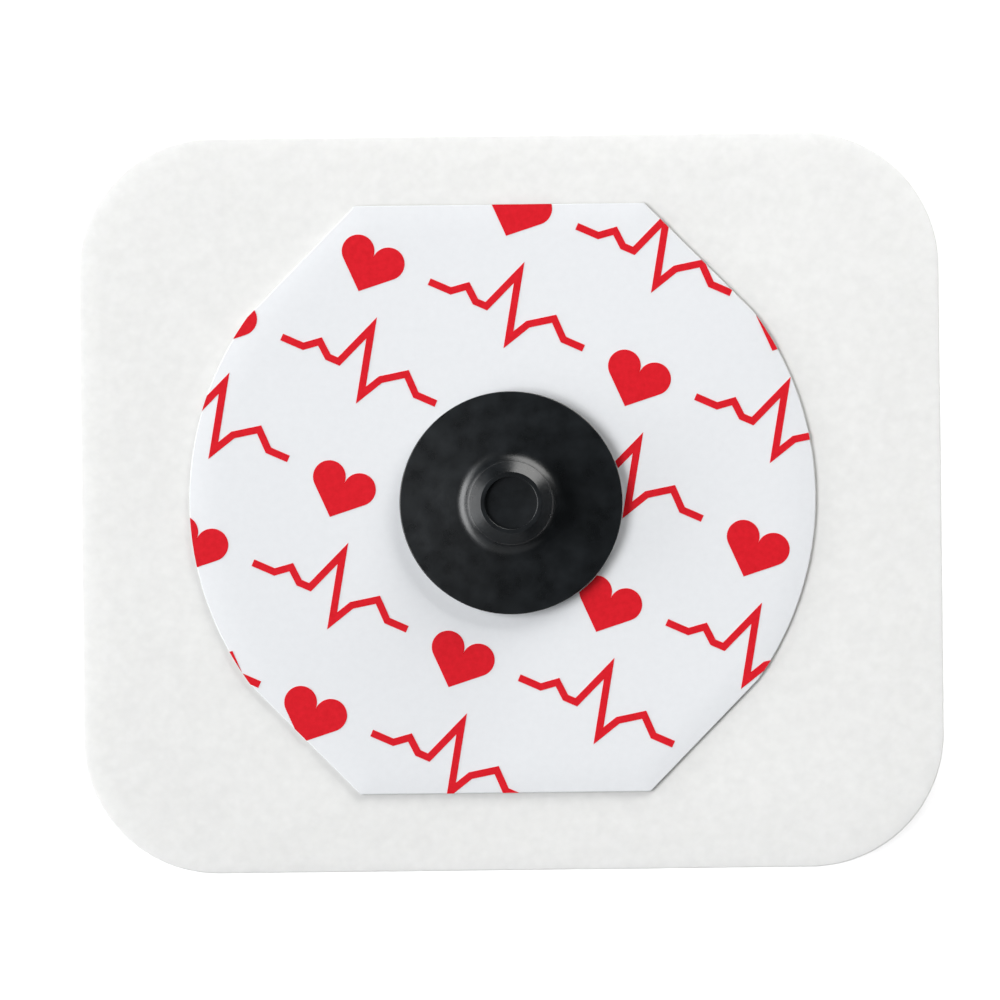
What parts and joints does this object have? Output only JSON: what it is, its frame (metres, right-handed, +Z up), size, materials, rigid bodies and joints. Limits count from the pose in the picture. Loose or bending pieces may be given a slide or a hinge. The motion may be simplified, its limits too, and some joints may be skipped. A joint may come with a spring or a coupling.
{
  "type": "ecg electrode",
  "caption": "Flat foam pad with rounded corners, a printed label and a black snap stud on top, and a gel-covered sensor below; takes an ECG lead's snap.",
  "frame": {"origin": "middle of the adhesive face, under the stud, on the surface that the electrode lies on", "axes": "+X along the pad's long side, +Y along its short side, +Z up along the stud's axis"},
  "size_m": [0.041, 0.035, 0.0052],
  "materials": {
    "foam": "white closed-cell polyethylene foam tape, finely pebbled skin, adhesive on its underside",
    "label_film": "white film label, smooth and slightly satin",
    "red_ink": "one colour of red printing ink",
    "carbon_plastic": "black carbon-filled plastic, moulded, satin",
    "silver_coating": "dull grey silver and silver chloride coating on plastic",
    "gel": "clear tacky hydrogel"
  },
  "bodies": {
    "root": {"foam_pad": "foam", "label": "label_film", "label_print": "red_ink", "stud": "carbon_plastic", "eyelet": "silver_coating", "gel_disc": "gel"}
  },
  "joints": []
}
